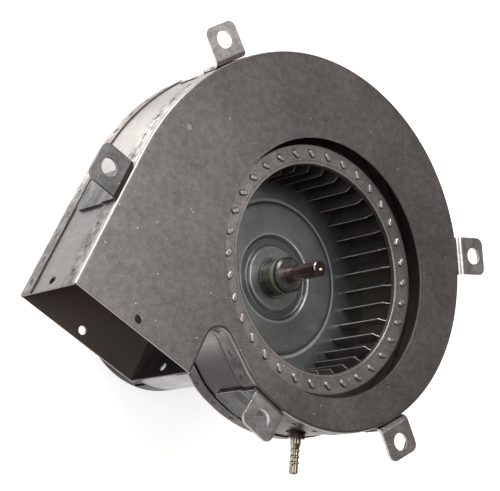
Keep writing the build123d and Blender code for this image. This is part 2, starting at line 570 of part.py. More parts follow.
def stator_coils():
    """One wound coil around each pole's leg, bulging past both ends of the stack."""
    inner = STATOR_BORE + SHOE_THICKNESS + COIL_SHOE_GAP
    depth = YOKE_INNER - inner - COIL_YOKE_GAP
    height = STATOR_FRONT - STATOR_REAR
    outside = Rectangle(POLE_WIDTH + 2 * COIL_WALL, height + 2 * COIL_OVERHANG)
    outside = fillet(outside.vertices(), COIL_WALL)
    window = Rectangle(POLE_WIDTH + 2 * COIL_POLE_GAP, height + 2 * COIL_STACK_GAP)
    coil = extrude(outside - window, amount=depth)
    long_edges = coil.edges().group_by(Axis.Z)[-1].sort_by(Edge.length)[-4:]
    coil = fillet(long_edges, COIL_ROUND)
    middle = (STATOR_FRONT + STATOR_REAR) / 2
    frame = Plane(origin=(inner, 0, middle), x_dir=(0, 1, 0), z_dir=(1, 0, 0))
    return around(frame * coil, POLES)


def rotor_end_rings():
    """The cast rings that join the rotor's bars, with small stirring fins."""
    ring = Circle(END_RING_OUTER) - Circle(END_RING_INNER)
    fin = Pos((END_RING_OUTER + END_RING_INNER) / 2, 0) * Rectangle(RING_FIN_LENGTH, RING_FIN_WIDTH)
    solids = []
    for height, side in ((STATOR_FRONT, 1), (STATOR_REAR, -1)):
        body = Pos(0, 0, height) * extrude(ring, amount=side * END_RING_HEIGHT)
        tall = Pos(0, 0, height) * extrude(fin, amount=side * (END_RING_HEIGHT + RING_FIN_HEIGHT))
        solids.append(body + around(tall, RING_FINS))
    return solids


def rotor_core():
    return tube(ROTOR_RADIUS, SHAFT_RADIUS, STATOR_FRONT, STATOR_REAR)


def bearing(height):
    """A self-aligning sleeve: a barrel with a running bore."""
    half, land, end = BEARING_LENGTH / 2, BEARING_LAND, BEARING_RADIUS - BEARING_NOSE
    points = [(BEARING_BORE, -half), (end, -half), (BEARING_RADIUS, -land), (BEARING_RADIUS, land)]
    return Pos(0, 0, height) * revolved(points + [(end, half), (BEARING_BORE, half)])


def shaft_clip(height):
    """An open retaining ring on the shaft."""
    gap = Pos(CLIP_RADIUS, 0, height) * Box(2 * CLIP_RADIUS, CLIP_OPENING, 4 * CLIP_THICKNESS)
    return tube(CLIP_RADIUS, SHAFT_RADIUS, height, height - CLIP_THICKNESS) - gap


def slinger_fan():
    """The cooling disc between housing and motor, with blades bent up from its rim."""
    top = SLINGER_Z + SLINGER_THICKNESS
    plate = tube(SLINGER_RADIUS, SHAFT_RADIUS, top, SLINGER_Z)
    collar = tube(SLINGER_COLLAR_RADIUS, SHAFT_RADIUS, top + SLINGER_COLLAR_HEIGHT, top)
    blade = extrude(Rectangle(SLINGER_BLADE_LENGTH, SLINGER_BLADE_WIDTH), amount=SLINGER_BLADE_HEIGHT)
    blade = Pos(SLINGER_BLADES_AT, 0, top) * Rot(0, 0, SLINGER_BLADE_LEAN) * blade
    return plate + collar + around(blade, SLINGER_BLADES)


def lead_grommet():
    """The bush that the motor's leads leave through, lipped on both sides of the shell."""
    inside = -MOTOR_SHEET - GROMMET_SLACK
    outside = GROMMET_SLACK
    tail, head = GROMMET_NECK + GROMMET_INNER_LIP, GROMMET_NECK + GROMMET_OUTER_LIP
    points = [(GROMMET_BORE, inside - GROMMET_LIP), (tail, inside - GROMMET_LIP), (tail, inside)]
    points += [(GROMMET_NECK, inside), (GROMMET_NECK, outside), (head, outside)]
    points += [(head - GROMMET_TAPER, outside + GROMMET_LIP), (GROMMET_BORE, outside + GROMMET_LIP)]
    return grommet_frame * revolved(points)


def on_bolts(shape):
    """Copies of a small part at each of the motor's bolts."""
    return around(Pos(BOLT_CIRCLE, 0, 0) * shape, BOLTS, BOLT_PHASE)


def through_bolt():
    """A long hexagon-headed bolt from the motor's rear shoulder to the housing."""
    bottom = REAR_BELL_SHOULDER
    head = Pos(0, 0, bottom - BOLT_HEAD_HEIGHT) * extrude(hexagon(BOLT_HEX), amount=BOLT_HEAD_HEIGHT)
    return disc(BOLT_RADIUS, -HOUSING_DEPTH, bottom) + head


def hex_nut(top, height):
    return Pos(0, 0, top - height) * extrude(hexagon(BOLT_HEX) - Circle(BOLT_RADIUS), amount=height)


parts["front_plate"] = front_plate()
parts["rear_plate"] = rear_plate()
parts["scroll_band"] = scroll_band()
parts["tab_left"] = mounting_tab(along_wall(LEFT_TAB_SETBACK), OUTLET_HEADING - 90)
for name, facing in TAB_NORMALS.items():
    parts["tab_" + name] = mounting_tab(skin_point(facing), facing)
parts["hose_barb"] = hose_barb()
parts["barb_washer"] = barb_washer()
parts["barb_nut"] = barb_nut()

parts["wheel_front_ring"] = wheel_front_ring()
parts["wheel_backplate"] = wheel_backplate()
parts["wheel_blades"] = around(wheel_blade(), BLADES, BLADE_PHASE)
parts["wheel_hub"] = wheel_hub()
parts["hub_setscrew"] = hub_setscrew()
parts["motor_shaft"] = motor_shaft()

bush_top = -HOUSING_DEPTH - CLINCH_NUT_HEIGHT
bush_bottom = FRONT_BELL_FACE + BOLT_NUT_HEIGHT
seal_top = -HOUSING_DEPTH
seal_bottom = seal_top - SEAL_HEIGHT
parts["clinch_nuts"] = on_bolts(
    tube(CLINCH_NUT_RADIUS, BOLT_RADIUS, -HOUSING_DEPTH, bush_top)
    + tube(CLINCH_NUT_NECK, BOLT_RADIUS, -HOUSING_DEPTH + SHEET, -HOUSING_DEPTH)
)
parts["isolator_bushes"] = on_bolts(tube(BUSH_RADIUS, BOLT_RADIUS, bush_top, bush_bottom))
parts["bolt_nuts"] = on_bolts(hex_nut(bush_bottom, BOLT_NUT_HEIGHT))
parts["through_bolts"] = on_bolts(through_bolt())
seal_floor = seal_bottom + SHEET
parts["seal_felt"] = tube(SEAL_FELT_RADIUS, SHAFT_RADIUS + SEAL_FELT_GAP, seal_top, seal_floor)
seal_wall = tube(SEAL_CUP_RADIUS, SEAL_FELT_RADIUS, seal_top, seal_bottom)
parts["seal_cup"] = seal_wall + tube(SEAL_CUP_RADIUS, SHAFT_RADIUS + SEAL_CUP_GAP, seal_floor, seal_bottom)
parts["slinger_fan"] = slinger_fan()

parts["motor_front_bell"] = motor_front_bell()
parts["motor_shell"] = motor_shell()
parts["motor_rear_bell"] = motor_rear_bell()
parts["lead_grommet"] = lead_grommet()
parts["stator_core"] = stator_core()
parts["stator_coils"] = stator_coils()
parts["rotor_core"] = rotor_core()
parts["rotor_end_rings"] = rotor_end_rings()
parts["shading_rings"] = shading_rings()
parts["front_bearing"] = bearing(FRONT_BEARING_Z)
parts["rear_bearing"] = bearing(REAR_BEARING_Z)

retainer_top = FRONT_BEARING_Z - BEARING_LENGTH / 2 - RETAINER_GAP
retainer_bottom = retainer_top - RETAINER_THICKNESS
retainer_hole = BEARING_RADIUS - RETAINER_WIDTH
felt_hole = BEARING_BORE + FELT_GAP
felt_bottom = retainer_bottom - FRONT_FELT_LENGTH
thrust_front = FRONT_BELL_FACE - BEARING_CUP_DEPTH - FRONT_THRUST_GAP
parts["front_bearing_retainer"] = tube(BEARING_RADIUS, retainer_hole, retainer_top, retainer_bottom)
parts["front_felt_wick"] = tube(BEARING_RADIUS, felt_hole, retainer_bottom, felt_bottom)
rear_retainer = REAR_BEARING_Z + BEARING_LENGTH / 2 + RETAINER_GAP + RETAINER_THICKNESS
rear_felt = REAR_BELL_FACE + 2 * MOTOR_SHEET + REAR_FELT_LENGTH
thrust_rear = rear_retainer + REAR_THRUST_GAP + THRUST_THICKNESS
parts["rear_bearing_retainer"] = tube(
    BEARING_RADIUS, retainer_hole, rear_retainer, rear_retainer - RETAINER_THICKNESS
)
parts["rear_felt_wick"] = tube(BEARING_RADIUS, felt_hole, rear_felt, rear_felt - REAR_FELT_LENGTH)
parts["thrust_washers"] = [
    tube(THRUST_RADIUS, SHAFT_RADIUS, thrust_front, thrust_front - THRUST_THICKNESS),
    tube(THRUST_RADIUS, SHAFT_RADIUS, thrust_rear, thrust_rear - THRUST_THICKNESS),
]
parts["shaft_clips"] = [
    shaft_clip(thrust_front - THRUST_THICKNESS),
    shaft_clip(thrust_rear + CLIP_THICKNESS),
]

os.makedirs("parts", exist_ok=True)
for name, shape in parts.items():
    solids = shape if isinstance(shape, list) else shape.solids()
    export_step(Compound(children=list(solids)), "parts/" + name + ".step")
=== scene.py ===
import math

import bpy
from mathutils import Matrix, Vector


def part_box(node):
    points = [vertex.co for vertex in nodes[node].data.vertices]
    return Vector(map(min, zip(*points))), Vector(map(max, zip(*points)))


# A combustion fan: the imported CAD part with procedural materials, on a plain pale floor.
# Metres, in the part's own frame: +Z runs along the shaft, out of the inlet.

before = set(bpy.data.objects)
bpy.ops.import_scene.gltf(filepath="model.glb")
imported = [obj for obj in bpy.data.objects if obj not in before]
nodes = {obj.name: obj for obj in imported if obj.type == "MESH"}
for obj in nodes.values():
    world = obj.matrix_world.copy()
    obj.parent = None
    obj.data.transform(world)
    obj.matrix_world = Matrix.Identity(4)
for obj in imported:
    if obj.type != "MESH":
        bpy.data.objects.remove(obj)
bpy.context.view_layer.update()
scene = bpy.context.scene

MM = 0.001

# The camera: where it stands, how it is turned, its lens and sensor in mm, and how near and far it sees
CAMERA_PLACE = (-0.55084, -0.15962, 0.60189)
CAMERA_TURN = (11.326, -39.860, 0.706)
CAMERA_LENS = 121.0
SENSOR = 36.0
CAMERA_NEAR, CAMERA_FAR = 0.01, 120.0

# The floor, the light of the room, and the place, width and power of each lamp
FLOOR_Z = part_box("motor_rear_bell")[0].z
FLOOR_HALF = 40.0  # so far that its edge is lost in the distance
FLOOR_GLOW = 0.75
ROOM_TINT, ROOM_STRENGTH = (1.2, 1.0, 0.87), 0.12
LAMPS = {
    "top_light": ((-0.5, 1.1, 0.75), 0.9, 20.0),
    "left_light": ((-1.3, 0.1, 0.9), 0.9, 9.0),
    "overhead_light": ((0.3, 0.3, 1.45), 0.8, 7.5),
}

# Tints: the red, green and blue of a grey of brightness 1
WARM = (1.07, 1.0, 0.96)
EARTH = (1.16, 1.0, 0.91)
BROWN = (1.35, 0.98, 0.86)
GREENISH = (0.94, 1.0, 1.0)
NEUTRAL = (1.02, 1.0, 0.98)
OLIVE = (1.1, 1.05, 0.66)
HUB_YELLOW = (0.98, 1.0, 0.9)
BRASS = (1.12, 0.98, 0.8)
COPPER = (1.3, 0.7, 0.35)
BRONZE = (1.2, 0.9, 0.55)

# Heights along Z on the housing
FRONT_SKIRT_END, FRONT_FACE = [corner.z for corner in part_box("front_plate")]
REAR_FACE, REAR_SKIRT_END = [corner.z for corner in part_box("rear_plate")]
FRONT_SEAM, REAR_SEAM = -11.7 * MM, -36.2 * MM
SKIRT_SCORE = -37.5 * MM
TAB_FOOT, TAB_FLANGE = -2.5 * MM, -1.5 * MM  # below the first is the foot, above the second the flange
TAB_JOGGLE = -11.6 * MM

# Depth below a plate's face at which its bend starts and ends
BEND_START, BEND_END = 0.3 * MM, 1.8 * MM

# The painted shade under the scroll, and the painted reflection on the shoulder of its wall: along Y unless
# it says X
SHADE_FULL, SHADE_END = -52 * MM, -34 * MM
SHOULDER_MIDDLE, SHOULDER_HALF, SHOULDER_FADE = 46 * MM, 6 * MM, 28 * MM
SHOULDER_FULL_X, SHOULDER_END_X = -70 * MM, -50 * MM

INSIDE_ROUGH = 0.7  # roughness of the plates' sheet inside the housing

# Radii around the shaft
INLET_RADIUS = 65 * MM
RING_GROOVE, RING_BEAD, RING_RIM = 54.6 * MM, 53.6 * MM, 62.3 * MM
CLINCH_FROM = 55 * MM
BLADE_INNER = 50 * MM
DISC_STEP, DISC_RIM = 38.6 * MM, 40.9 * MM
GROOVE_MIDDLE, GROOVE_FROM, GROOVE_TO = 19.4 * MM, 16.4 * MM, 22.6 * MM
DISC_METALLIC, RIM_METALLIC = 0.75, 0.35  # the back disc's shine, and its rim's

# Heights along Z on the rotor
CLINCH_HEIGHT = 1.0 * MM
RING_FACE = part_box("wheel_front_ring")[1].z - CLINCH_HEIGHT
SHAFT_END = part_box("motor_shaft")[1].z
HUB_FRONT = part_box("wheel_hub")[1].z
HUB_COLLAR, HUB_GROOVE = -32.3 * MM, -30.7 * MM

# How bright each tab is: copies of one plating, lit and shaded by painted light
TAB_LIGHT_LEVELS = {"left": 0.13, "top": 0.8, "right": 0.44, "lower_right": 0.5, "lower_left": 0.36}

# The families of scratches on sheet: length, width, turn in degrees, and how rare each is
SCRATCHES = (
    (30 * MM, 0.25 * MM, (0, 0, 24), 0.65),
    (20 * MM, 0.22 * MM, (0, 0, -58), 0.66),
    (35 * MM, 0.3 * MM, (20, 35, 80), 0.66),
)
LINE_FADE = 0.07  # how soon a scratch fades out at its sides
PATCH_TURN = 40  # degrees between scratches and the patches they lie in
LATHE_PITCH = 0.12 * MM  # between the rings that a lathe leaves

# Where most of a noise's values lie, and a narrower stretch for more contrast
WIDE, NARROW = (0.3, 0.7), (0.36, 0.64)

# A Mix node's sockets for numbers and for colours: its share, its two inputs and its result
MIX_SOCKETS = {"FLOAT": (0, 2, 3, 0), "RGBA": (0, 6, 7, 2)}


def colour(value, tint=(1.0, 1.0, 1.0)):
    """A grey of this brightness, tinted, with alpha."""
    red, green, blue = tint
    return (value * red, value * green, value * blue, 1.0)


class Recipe:
    """One node material under construction. Most methods add nodes and return an output socket."""

    def __init__(self, name):
        self.material = bpy.data.materials.new(name)
        self.material.use_nodes = True
        self.tree = self.material.node_tree
        self.shader = self.tree.nodes["Principled BSDF"]
        self.place = self.add("ShaderNodeTexCoord").outputs["Object"]

    def add(self, kind, **settings):
        node = self.tree.nodes.new(kind)
        for key, value in settings.items():
            setattr(node, key, value)
        return node

    def feed(self, socket, value):
        """Links a socket, or sets a plain value."""
        if isinstance(value, bpy.types.NodeSocket):
            self.tree.links.new(value, socket)
        else:
            socket.default_value = value

    def mapped(self, stretch=(1.0, 1.0, 1.0), turn=(0.0, 0.0, 0.0)):
        """The surface point, turned by degrees and stretched along each axis."""
        node = self.add("ShaderNodeMapping")
        self.feed(node.inputs["Vector"], self.place)
        node.inputs["Rotation"].default_value = [math.radians(a) for a in turn]
        node.inputs["Scale"].default_value = stretch
        return node.outputs["Vector"]

    def axis(self, name):
        """One coordinate of the surface point, in metres."""
        node = self.add("ShaderNodeSeparateXYZ")
        self.feed(node.inputs["Vector"], self.place)
        return node.outputs[name]

    def radius(self):
        """Distance of the surface point from the shaft axis, in metres."""
        node = self.add("ShaderNodeVectorMath", operation="LENGTH")
        self.feed(node.inputs[0], self.mapped(stretch=(1.0, 1.0, 0.0)))
        return node.outputs["Value"]

    def noise(self, scale=1.0, detail=3.0, rough=0.55, vector=None):
        """A cloudy pattern with about scale clouds to the metre, or to a unit of vector."""
        node = self.add("ShaderNodeTexNoise")
        self.feed(node.inputs["Vector"], vector or self.place)
        node.inputs["Scale"].default_value = scale
        node.inputs["Detail"].default_value = detail
        node.inputs["Roughness"].default_value = rough
        return node.outputs["Fac"]

    def span(self, value, low, high, to_low=0.0, to_high=1.0):
        """value between low and high, eased, as a number between to_low and to_high."""
        node = self.add("ShaderNodeMapRange", interpolation_type="SMOOTHSTEP")
        self.feed(node.inputs["Value"], value)
        node.inputs["From Min"].default_value = low
        node.inputs["From Max"].default_value = high
        node.inputs["To Min"].default_value = to_low
        node.inputs["To Max"].default_value = to_high
        return node.outputs["Result"]

    def calculate(self, operation, a, b=0.0):
        node = self.add("ShaderNodeMath", operation=operation)
        self.feed(node.inputs[0], a)
        self.feed(node.inputs[1], b)
        return node.outputs[0]

    def times(self, a, b):
        return self.calculate("MULTIPLY", a, b)

    def minus(self, a, b):
        return self.calculate("SUBTRACT", a, b)

    def larger(self, a, b):
        return self.calculate("MAXIMUM", a, b)

    def inverse(self, share):
        """1 where share is 0, and 0 where it is 1."""
        return self.minus(1.0, share)

    def off(self, value, middle):
        """How far value is from middle."""
        return self.calculate("ABSOLUTE", self.minus(value, middle))

    def line(self, value, middle, half, soft):
        """1 where value is within half of middle, fading to 0 over soft."""
        return self.inverse(self.span(self.off(value, middle), half, half + soft))

    def mixed(self, kind, share, a, b):
        """a where share is 0, and b where it is 1; kind is a key of MIX_SOCKETS."""
        factor, first, second, result = MIX_SOCKETS[kind]
        node = self.add("ShaderNodeMix", data_type=kind)
        self.feed(node.inputs[factor], share)
        self.feed(node.inputs[first], a)
        self.feed(node.inputs[second], b)
        return node.outputs[result]

    def blend(self, share, a, b):
        """The number a where share is 0, and b where it is 1."""
        return self.mixed("FLOAT", share, a, b)

    def mix(self, share, a, b):
        """The colour a where share is 0, and b where it is 1."""
        return self.mixed("RGBA", share, a, b)

    def over(self, body, share, strength, shade):
        """The colour body, moved by strength towards shade where share is 1."""
        return self.mix(self.times(share, strength), body, shade)

    def tinted(self, brightness, tint):
        """A colour of this tint and brightness."""
        return self.mix(brightness, colour(0.0), colour(1.0, tint))

    def specks(self, scale, size, share):
        """Small dots, one in this share of the cells of a Voronoi pattern."""
        node = self.add("ShaderNodeTexVoronoi")
        self.feed(node.inputs["Vector"], self.place)
        node.inputs["Scale"].default_value = scale
        split = self.add("ShaderNodeSeparateColor")
        self.feed(split.inputs["Color"], node.outputs["Color"])
        dot = self.inverse(self.span(node.outputs["Distance"], 0.6 * size, size))
        return self.times(dot, self.calculate("LESS_THAN", split.outputs["Red"], share))

    def scratches(self, length, width, turn, rare):
        """Fine straight lines along one direction, present only in patches."""
        stretch = (1 / length, 1 / width, 1 / length)
        lines = self.noise(detail=2.0, rough=0.5, vector=self.mapped(stretch, turn))
        patch_turn = (0, 0, turn[2] + PATCH_TURN)
        patches = self.noise(scale=18.0, detail=2.0, rough=0.5, vector=self.mapped(turn=patch_turn))
        return self.times(self.span(lines, rare, rare + LINE_FADE), self.span(patches, low=0.5, high=0.64))

    def cavity(self, distance, low, high):
        """1 in corners and pockets closer than distance, 0 in the open."""
        node = self.add("ShaderNodeAmbientOcclusion", samples=8)
        node.inputs["Distance"].default_value = distance
        return self.inverse(self.span(node.outputs["AO"], low, high))

    def softened(self, radius, samples):
        """The surface's normal with its edges rounded to this radius."""
        node = self.add("ShaderNodeBevel", samples=samples)
        node.inputs["Radius"].default_value = radius
        return node.outputs["Normal"]

    def edges(self, radius):
        """1 on sharp edges, 0 on flat and smooth surfaces."""
        geometry = self.add("ShaderNodeNewGeometry")
        likeness = self.add("ShaderNodeVectorMath", operation="DOT_PRODUCT")
        self.feed(likeness.inputs[0], self.softened(radius, samples=8))
        self.feed(likeness.inputs[1], geometry.outputs["Normal"])
        return self.span(self.inverse(likeness.outputs["Value"]), low=0.03, high=0.25)

    def bumped(self, *layers, soften=0.25 * MM):
        """A chain of bumps over softened edges; each layer is (height socket, depth in metres)."""
        normal = self.softened(soften, samples=4)
        for height, depth in layers:
            bump = self.add("ShaderNodeBump")
            bump.inputs["Distance"].default_value = depth
            self.feed(bump.inputs["Height"], height)
            self.feed(bump.inputs["Normal"], normal)
            normal = bump.outputs["Normal"]
        return normal

    def finish(self, base, rough, normal, metallic, **constants):
        """The material; constants are the shader's other inputs, by name."""
        self.feed(self.shader.inputs["Base Color"], base)
        self.feed(self.shader.inputs["Roughness"], rough)
        self.feed(self.shader.inputs["Normal"], normal)
        self.feed(self.shader.inputs["Metallic"], metallic)
        for name, value in constants.items():
            self.shader.inputs[name].default_value = value
        return self.material


class Zinc(Recipe):
    """Worn zinc-coated sheet under construction: its brightness, roughness and relief.

    level is its plain brightness. cloud and grain are how much its coarse and fine patterns change
    that, and speck and scuff are how strongly its dots and scratches show.
    """

    def __init__(self, name, level, rough=0.36, cloud=0.1, grain=0.12, speck=0.8, scuff=0.6):
        super().__init__(name)
        self.level = level
        clouds = self.noise(scale=14.0, rough=0.5)
        blotches = self.noise(scale=60.0, rough=0.6)
        mottle = self.noise(scale=260.0, rough=0.6)
        self.grains = self.noise(scale=900.0, detail=2.0, rough=0.7)
        self.bright = level
        for pattern, change in ((clouds, cloud), (blotches, cloud), (mottle, grain), (self.grains, grain)):
            varied = self.span(pattern, *NARROW, to_low=1 - change, to_high=1 + change)
            self.bright = self.times(varied, self.bright)
        self.mark(self.specks(scale=170.0, size=0.075, share=0.6), strength=speck, target=4.5)
        first, second, third = [self.scratches(*family) for family in SCRATCHES]
        self.scuffs = self.larger(self.larger(first, second), third)
        self.mark(self.scuffs, strength=scuff, target=2.3)
        self.rough = self.span(clouds, *WIDE, to_low=rough - 0.03, to_high=rough + 0.04)

    def mark(self, share, strength, target):
        """Moves the brightness towards target times its plain level where share is 1."""
        self.bright = self.blend(self.times(share, strength), self.bright, self.level * target)

    def scale(self, share, factor):
        """Multiplies the brightness by factor, a number or a socket, where share is 1."""
        self.bright = self.times(self.bright, self.blend(share, 1.0, factor))

    def corners(self, distance, strength):
        """Painted shade in corners and pockets, found by ambient occlusion."""
        self.mark(self.cavity(distance, low=0.45, high=0.95), strength, target=0.15)

    def wear_and_edge_glint(self, radius, strength, target):
        """Edges lightened: rubbed bright, and painted highlights along them."""
        self.mark(self.edges(radius), strength, target)

    def complete(self, tint, brown_fill=None, metallic=1.0):
        """The finished material; brown_fill is where it turns an earthy brown: part of the painted light
        inside the housing.
        """
        body = self.tinted(self.bright, tint)
        if brown_fill:
            body = self.mix(brown_fill, body, self.tinted(self.bright, EARTH))
        relief = self.bumped((self.grains, 0.015 * MM), (self.scuffs, 0.01 * MM))
        return self.finish(body, self.rough, relief, metallic)


def underside(sheet):
    """1 on the scroll's lower part, which is painted darker as shade, 0 on the rest."""
    return sheet.inverse(sheet.span(sheet.axis("Y"), SHADE_FULL, SHADE_END))


def shoulder(sheet):
    """1 where the scroll's wall starts to curve above the long straight wall, which is painted bright: a
    painted reflection.
    """
    near = sheet.line(sheet.axis("Y"), SHOULDER_MIDDLE, SHOULDER_HALF, SHOULDER_FADE)
    outlet_side = sheet.inverse(sheet.span(sheet.axis("X"), SHOULDER_FULL_X, SHOULDER_END_X))
    return sheet.times(near, outlet_side)


def plate_sheet(name, face, skirt_edge):
    """A side plate: its outer face is at this height, and its skirt ends at skirt_edge."""
    sheet = Zinc(name, level=0.18, cloud=0.055, grain=0.11)
    height = sheet.axis("Z")
    out = sheet.radius()
    depth = sheet.off(height, face)
    skirt = sheet.span(depth, low=1 * MM, high=BEND_END)
    off_face = sheet.span(depth, low=0.03 * MM, high=BEND_START)
    past_bend = sheet.span(depth, low=BEND_END, high=BEND_END + 1 * MM)
    bend = sheet.minus(off_face, past_bend)
    past_inlet = sheet.span(out, low=INLET_RADIUS + 1 * MM, high=INLET_RADIUS + 2 * MM)
    # Painted highlight along the plate's bend
    sheet.mark(sheet.times(bend, past_inlet), strength=0.75, target=2.0)
    smudges = sheet.noise(scale=200.0, rough=0.65)
    sheet.scale(skirt, sheet.span(smudges, low=0.4, high=0.6, to_low=1.0, to_high=0.45))
    # Painted shade on the skirts under the scroll
    sheet.scale(sheet.times(skirt, underside(sheet)), factor=0.36)
    # Painted reflection on the skirts at the scroll's shoulder
    sheet.scale(sheet.times(skirt, shoulder(sheet)), factor=2.6)
    # Painted shade in the pockets of the skirts, found by ambient occlusion
    pockets = sheet.cavity(distance=3 * MM, low=0.85, high=0.99)
    sheet.mark(sheet.times(skirt, pockets), strength=0.75, target=0.35)
    # Painted highlight along the skirt's edge
    sheet.mark(sheet.line(height, skirt_edge, half=0.12 * MM, soft=0.1 * MM), strength=0.6, target=2.0)
    sheet.mark(sheet.line(height, SKIRT_SCORE, half=0.12 * MM, soft=0.15 * MM), strength=0.6, target=0.2)
    # Painted light inside the housing: where a wide ambient occlusion finds the sheet enclosed, it is
    # lifted brighter, tinted earthy brown and made rougher
    far_from_inlet = sheet.span(out, INLET_RADIUS + 1 * MM, INLET_RADIUS + 25 * MM, to_low=0.5)
    inside = sheet.times(sheet.cavity(distance=60 * MM, low=0.45, high=0.85), far_from_inlet)
    sheet.mark(inside, strength=0.92, target=1.6)
    sheet.rough = sheet.blend(inside, sheet.rough, INSIDE_ROUGH)
    sheet.corners(distance=1.2 * MM, strength=0.7)
    return sheet.complete(WARM, brown_fill=inside, metallic=0.9)


def band_sheet():
    """The scroll band: stained along its seams with both skirts, painted darker as shade on its lower part,
    with a painted reflection on its shoulder, and painted light, earthy brown, inside the duct.
    """
    sheet = Zinc("band_sheet", level=0.16, cloud=0.04, grain=0.06, speck=0.2)
    height = sheet.axis("Z")
    # Painted shade on the scroll's lower part
    sheet.scale(underside(sheet), factor=0.3)
    # Painted reflection on the scroll's shoulder
    sheet.scale(shoulder(sheet), factor=2.5)
    # Painted light inside the duct: lifted brighter and tinted earthy brown where a wide ambient occlusion
    # finds the band enclosed
    inside = sheet.cavity(distance=40 * MM, low=0.2, high=0.72)
    sheet.mark(inside, strength=0.92, target=2.8)
    front_seam = sheet.line(height, FRONT_SEAM, half=0.35 * MM, soft=0.35 * MM)
    rear_seam = sheet.line(height, REAR_SEAM, half=0.25 * MM, soft=0.3 * MM)
    sheet.mark(sheet.larger(front_seam, rear_seam), strength=0.85, target=0.15)
    stain = sheet.span(sheet.noise(scale=70.0, rough=0.6), low=0.5, high=0.72)
    front_edge = sheet.line(height, FRONT_SEAM, half=1.5 * MM, soft=2 * MM)
    rear_edge = sheet.line(height, REAR_SEAM, half=1.5 * MM, soft=2 * MM)
    sheet.scale(sheet.times(stain, sheet.larger(front_edge, rear_edge)), factor=0.7)
    sheet.corners(distance=1.6 * MM, strength=0.7)
    return sheet.complete(WARM, brown_fill=inside, metallic=0.9)


def tab_sheet(name, level):
    """A mounting tab: plated, with a streaked foot, painted shade on the feet under the scroll, and a
    painted highlight along its joggle.
    """
    sheet = Zinc(name, level, rough=0.32, cloud=0.18, scuff=0.9)
    height = sheet.axis("Z")
    foot = sheet.inverse(sheet.span(height, TAB_FOOT, TAB_FLANGE))
    streaks = sheet.noise(rough=0.6, vector=sheet.mapped(stretch=(60.0, 60.0, 200.0), turn=(25, 15, 0)))
    sheet.scale(foot, sheet.span(streaks, *NARROW, to_low=0.4, to_high=1.15))
    # Painted highlight along the joggle
    sheet.mark(sheet.line(height, TAB_JOGGLE, half=0.4 * MM, soft=0.4 * MM), strength=0.8, target=4.0)
    # Painted shade on the feet of the tabs under the scroll
    sheet.scale(sheet.times(foot, underside(sheet)), factor=0.19)
    sheet.corners(distance=1.4 * MM, strength=0.75)
    sheet.wear_and_edge_glint(radius=0.5 * MM, strength=0.65, target=2.6)
    return sheet.complete(NEUTRAL)


def ring_sheet():
    """The wheel's front ring: faint circles of painted shade in its groove and at its rim and a painted
    highlight on its bead, painted shade between its clinches, and painted highlights on their tops.
    """
    sheet = Zinc("ring_sheet", level=0.25, rough=0.4, cloud=0.06)
    out = sheet.radius()
    raised = sheet.span(sheet.axis("Z"), RING_FACE + 0.3 * MM, RING_FACE + 0.8 * MM)
    clinches = sheet.times(raised, sheet.span(out, CLINCH_FROM, CLINCH_FROM + 1 * MM))
    # Painted shade in the groove and at the rim, and a painted highlight along the bead
    sheet.mark(sheet.line(out, RING_GROOVE, half=0.1 * MM, soft=0.2 * MM), strength=0.55, target=0.35)
    sheet.mark(sheet.line(out, RING_BEAD, half=0.15 * MM, soft=0.2 * MM), strength=0.3, target=1.7)
    sheet.mark(sheet.line(out, RING_RIM, half=0.1 * MM, soft=0.3 * MM), strength=0.35, target=0.4)
    sheet.corners(distance=1.2 * MM, strength=0.65)
    # Painted highlights on the clinches' tops
    sheet.mark(clinches, strength=0.4, target=2.2)
    sheet.wear_and_edge_glint(radius=0.5 * MM, strength=0.6, target=3.0)
    return sheet.complete(WARM)


def back_disc_sheet():
    """The wheel's back disc: smooth, with painted shade at its step and in its groove, and painted
    highlights on its outer bend and along the groove's edges.
    """
    sheet = Zinc("back_disc_sheet", level=0.2, rough=0.3, cloud=0.1, grain=0.05, speck=0.4, scuff=0.2)
    out = sheet.radius()
    # Painted shade at the step and in the groove
    sheet.mark(sheet.line(out, DISC_STEP, half=0.3 * MM, soft=1.4 * MM), strength=0.5, target=0.4)
    sheet.mark(sheet.line(out, GROOVE_MIDDLE, half=1.0 * MM, soft=0.8 * MM), strength=0.6, target=0.3)
    # Painted highlight on the outer bend, which is also less metallic
    rim = sheet.line(out, DISC_RIM, half=0.35 * MM, soft=1.1 * MM)
    sheet.mark(rim, strength=0.8, target=3.4)
    # Painted highlights along the groove's edges
    sheet.mark(sheet.line(out, GROOVE_FROM, half=0.3 * MM, soft=0.6 * MM), strength=0.6, target=2.6)
    sheet.mark(sheet.line(out, GROOVE_TO, half=0.3 * MM, soft=0.7 * MM), strength=0.65, target=2.6)
    sheet.corners(distance=1.2 * MM, strength=0.7)
    return sheet.complete(GREENISH, metallic=sheet.blend(rim, DISC_METALLIC, RIM_METALLIC))


def blade_sheet():
    """The wheel's blades, with painted highlights along their inner edges."""
    sheet = Zinc("blade_sheet", level=0.2, rough=0.34)
    # Painted highlight along the blades' inner edges
    lit_inner_edge = sheet.inverse(sheet.span(sheet.radius(), BLADE_INNER + 0.1 * MM, BLADE_INNER + 0.4 * MM))
    sheet.mark(lit_inner_edge, strength=0.8, target=3.2)
    sheet.corners(distance=1.5 * MM, strength=0.6)
    sheet.wear_and_edge_glint(radius=0.3 * MM, strength=0.5, target=2.4)
    return sheet.complete(WARM, metallic=0.75)


